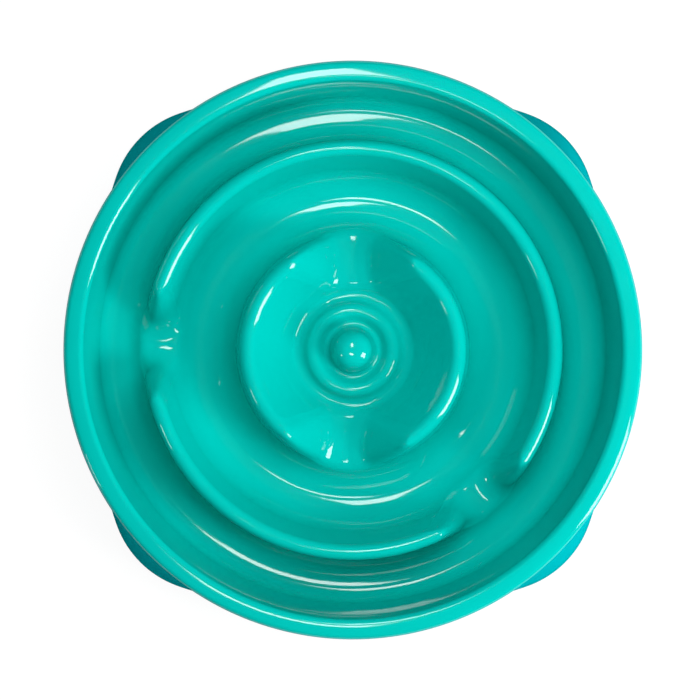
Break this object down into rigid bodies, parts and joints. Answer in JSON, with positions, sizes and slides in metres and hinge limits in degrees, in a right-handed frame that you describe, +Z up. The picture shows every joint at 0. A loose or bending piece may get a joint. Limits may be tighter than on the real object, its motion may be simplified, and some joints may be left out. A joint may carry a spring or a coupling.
{
  "type": "slow feeder bowl",
  "caption": "Round one-piece slow feeder bowl with broken ring ridges, a centre knob and a lobed skirt on rubber feet.",
  "frame": {"origin": "centre of the bowl on the floor it stands on", "axes": "+Z up out of the bowl, -Y towards the front (the picture's lower edge), +X to the picture's right"},
  "size_m": [0.2898, 0.2898, 0.064],
  "materials": {
    "shell_plastic": "glossy, smooth moulded",
    "foot_rubber": "matte, fine moulded"
  },
  "bodies": {
    "root": {"bowl_shell": "shell_plastic", "foot_back_right": "foot_rubber", "foot_back_left": "foot_rubber", "foot_front_left": "foot_rubber", "foot_front_right": "foot_rubber"}
  },
  "joints": []
}
